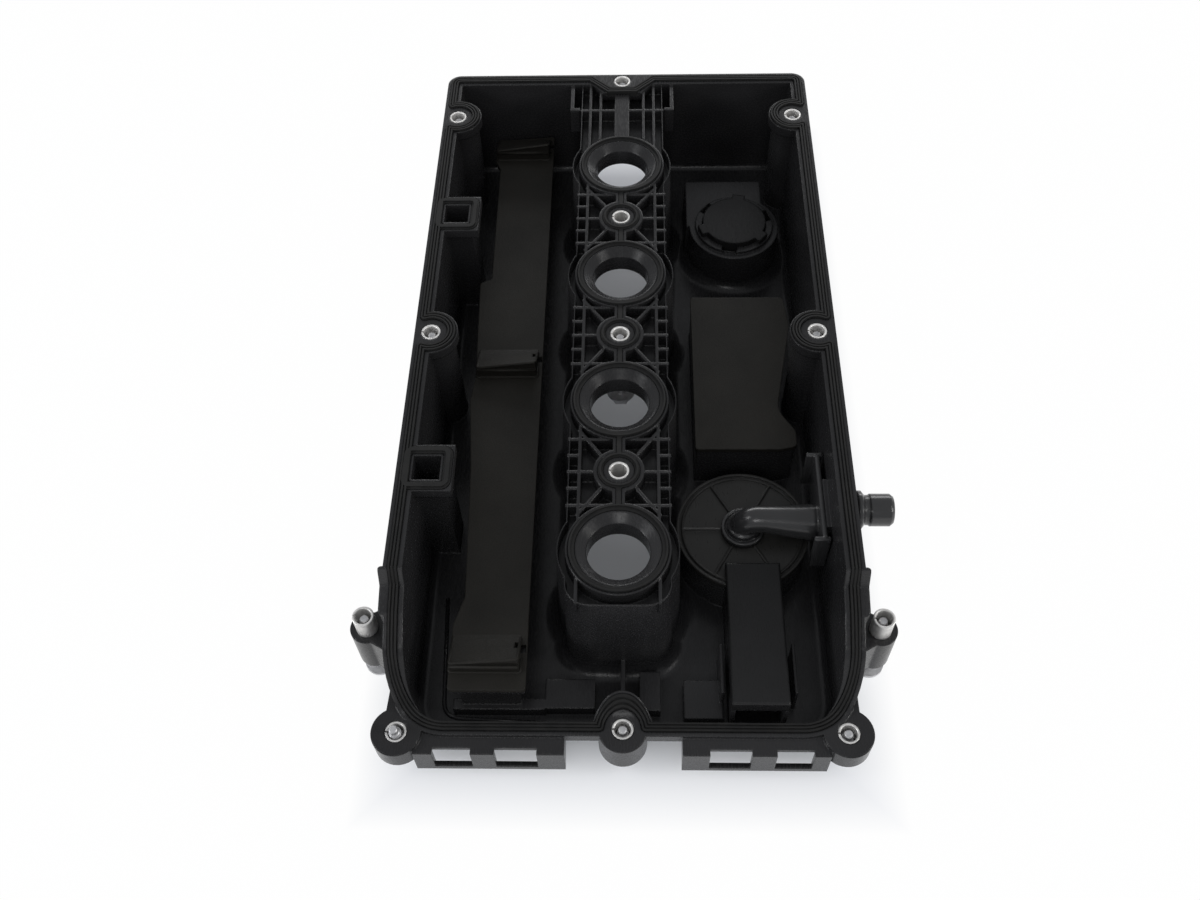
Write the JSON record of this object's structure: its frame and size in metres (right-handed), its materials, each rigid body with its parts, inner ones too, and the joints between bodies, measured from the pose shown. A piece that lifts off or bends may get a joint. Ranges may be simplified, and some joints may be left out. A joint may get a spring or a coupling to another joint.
{
  "type": "engine valve cover",
  "caption": "Moulded cam cover lying inside up, with centre coil channel, oil separator baffles, breather valve, filler cap, gaskets and captive screws.",
  "frame": {"origin": "centre of the bounding box's footprint, on the surface that the cover lies on", "axes": "+X across the engine to the side with the hose spigot, +Y along the crankshaft away from the timing end, +Z out of the open inner side"},
  "size_m": [0.2642, 0.4228, 0.0831],
  "materials": {
    "moulding": "semi-gloss",
    "moulding_trim": "semi-gloss",
    "valve_cover": "satin",
    "baffle": "matt",
    "cap_plastic": "satin",
    "gasket_rubber": "matt",
    "sleeve_steel": "satin",
    "screw_steel": "satin",
    "spring_steel": "bright"
  },
  "bodies": {
    "cover": {"cover_body": "moulding", "perimeter_gasket": "gasket_rubber", "plug_well_gasket": "gasket_rubber", "left_baffle": "baffle", "right_baffle": "baffle", "breather_cover": "valve_cover", "breather_elbow": "moulding_trim", "hose_nozzle": "moulding_trim", "drain_cover": "moulding_trim", "pcv_cap": "moulding_trim", "pcv_diaphragm": "gasket_rubber", "pcv_spring": "spring_steel", "sleeve_01": "sleeve_steel", "sleeve_02": "sleeve_steel", "sleeve_03": "sleeve_steel", "sleeve_04": "sleeve_steel", "sleeve_05": "sleeve_steel", "sleeve_06": "sleeve_steel", "sleeve_07": "sleeve_steel", "sleeve_08": "sleeve_steel", "sleeve_09": "sleeve_steel", "sleeve_10": "sleeve_steel", "sleeve_11": "sleeve_steel", "sleeve_12": "sleeve_steel", "sleeve_13": "sleeve_steel"},
    "valve_plate": {"pcv_valve_plate": "moulding_trim"},
    "filler_cap": {"oil_filler_cap": "cap_plastic", "filler_cap_seal": "gasket_rubber"},
    "captive_screw_01": {"screw_01": "screw_steel"},
    "captive_screw_02": {"screw_02": "screw_steel"},
    "captive_screw_03": {"screw_03": "screw_steel"},
    "captive_screw_04": {"screw_04": "screw_steel"},
    "captive_screw_05": {"screw_05": "screw_steel"},
    "captive_screw_06": {"screw_06": "screw_steel"},
    "captive_screw_07": {"screw_07": "screw_steel"},
    "captive_screw_08": {"screw_08": "screw_steel"},
    "captive_screw_09": {"screw_09": "screw_steel"},
    "captive_screw_10": {"screw_10": "screw_steel"},
    "captive_screw_11": {"screw_11": "screw_steel"}
  },
  "joints": [
    {"name": "screw_01_lift", "type": "slide", "parent": "cover", "child": "captive_screw_01", "axis": [0, 0, 1], "range_m": [0, 0.0245]},
    {"name": "screw_02_lift", "type": "slide", "parent": "cover", "child": "captive_screw_02", "axis": [0, 0, 1], "range_m": [0, 0.0245]},
    {"name": "screw_03_lift", "type": "slide", "parent": "cover", "child": "captive_screw_03", "axis": [0, 0, 1], "range_m": [0, 0.0245]},
    {"name": "screw_04_lift", "type": "slide", "parent": "cover", "child": "captive_screw_04", "axis": [0, 0, 1], "range_m": [0, 0.0245]},
    {"name": "screw_05_lift", "type": "slide", "parent": "cover", "child": "captive_screw_05", "axis": [0, 0, 1], "range_m": [0, 0.0245]},
    {"name": "screw_06_lift", "type": "slide", "parent": "cover", "child": "captive_screw_06", "axis": [0, 0, 1], "range_m": [0, 0.0245]},
    {"name": "screw_07_lift", "type": "slide", "parent": "cover", "child": "captive_screw_07", "axis": [0, 0, 1], "range_m": [0, 0.0105]},
    {"name": "screw_08_lift", "type": "slide", "parent": "cover", "child": "captive_screw_08", "axis": [0, 0, 1], "range_m": [0, 0.0105]},
    {"name": "screw_09_lift", "type": "slide", "parent": "cover", "child": "captive_screw_09", "axis": [-0.0384, -0.0192, 0.9991], "range_m": [-0.0039, 0.002]},
    {"name": "screw_10_lift", "type": "slide", "parent": "cover", "child": "captive_screw_10", "axis": [0, 0, 1], "range_m": [0, 0.0087]},
    {"name": "screw_11_lift", "type": "slide", "parent": "cover", "child": "captive_screw_11", "axis": [0, 0, 1], "range_m": [0, 0.0087]},
    {"name": "filler_cap_turn", "type": "hinge", "parent": "cover", "child": "filler_cap", "pos_m": [0.06415, 0.11935, 0.022], "axis": [0, 0, -1], "range_deg": [0, 60]},
    {"name": "pressure_valve_slide", "type": "slide", "parent": "cover", "child": "valve_plate", "axis": [0, 0, 1], "range_m": [0, 0.003], "stiffness_N_per_m": 250, "springref_m": -0.004, "deforming": ["pcv_spring", "pcv_diaphragm"]}
  ]
}
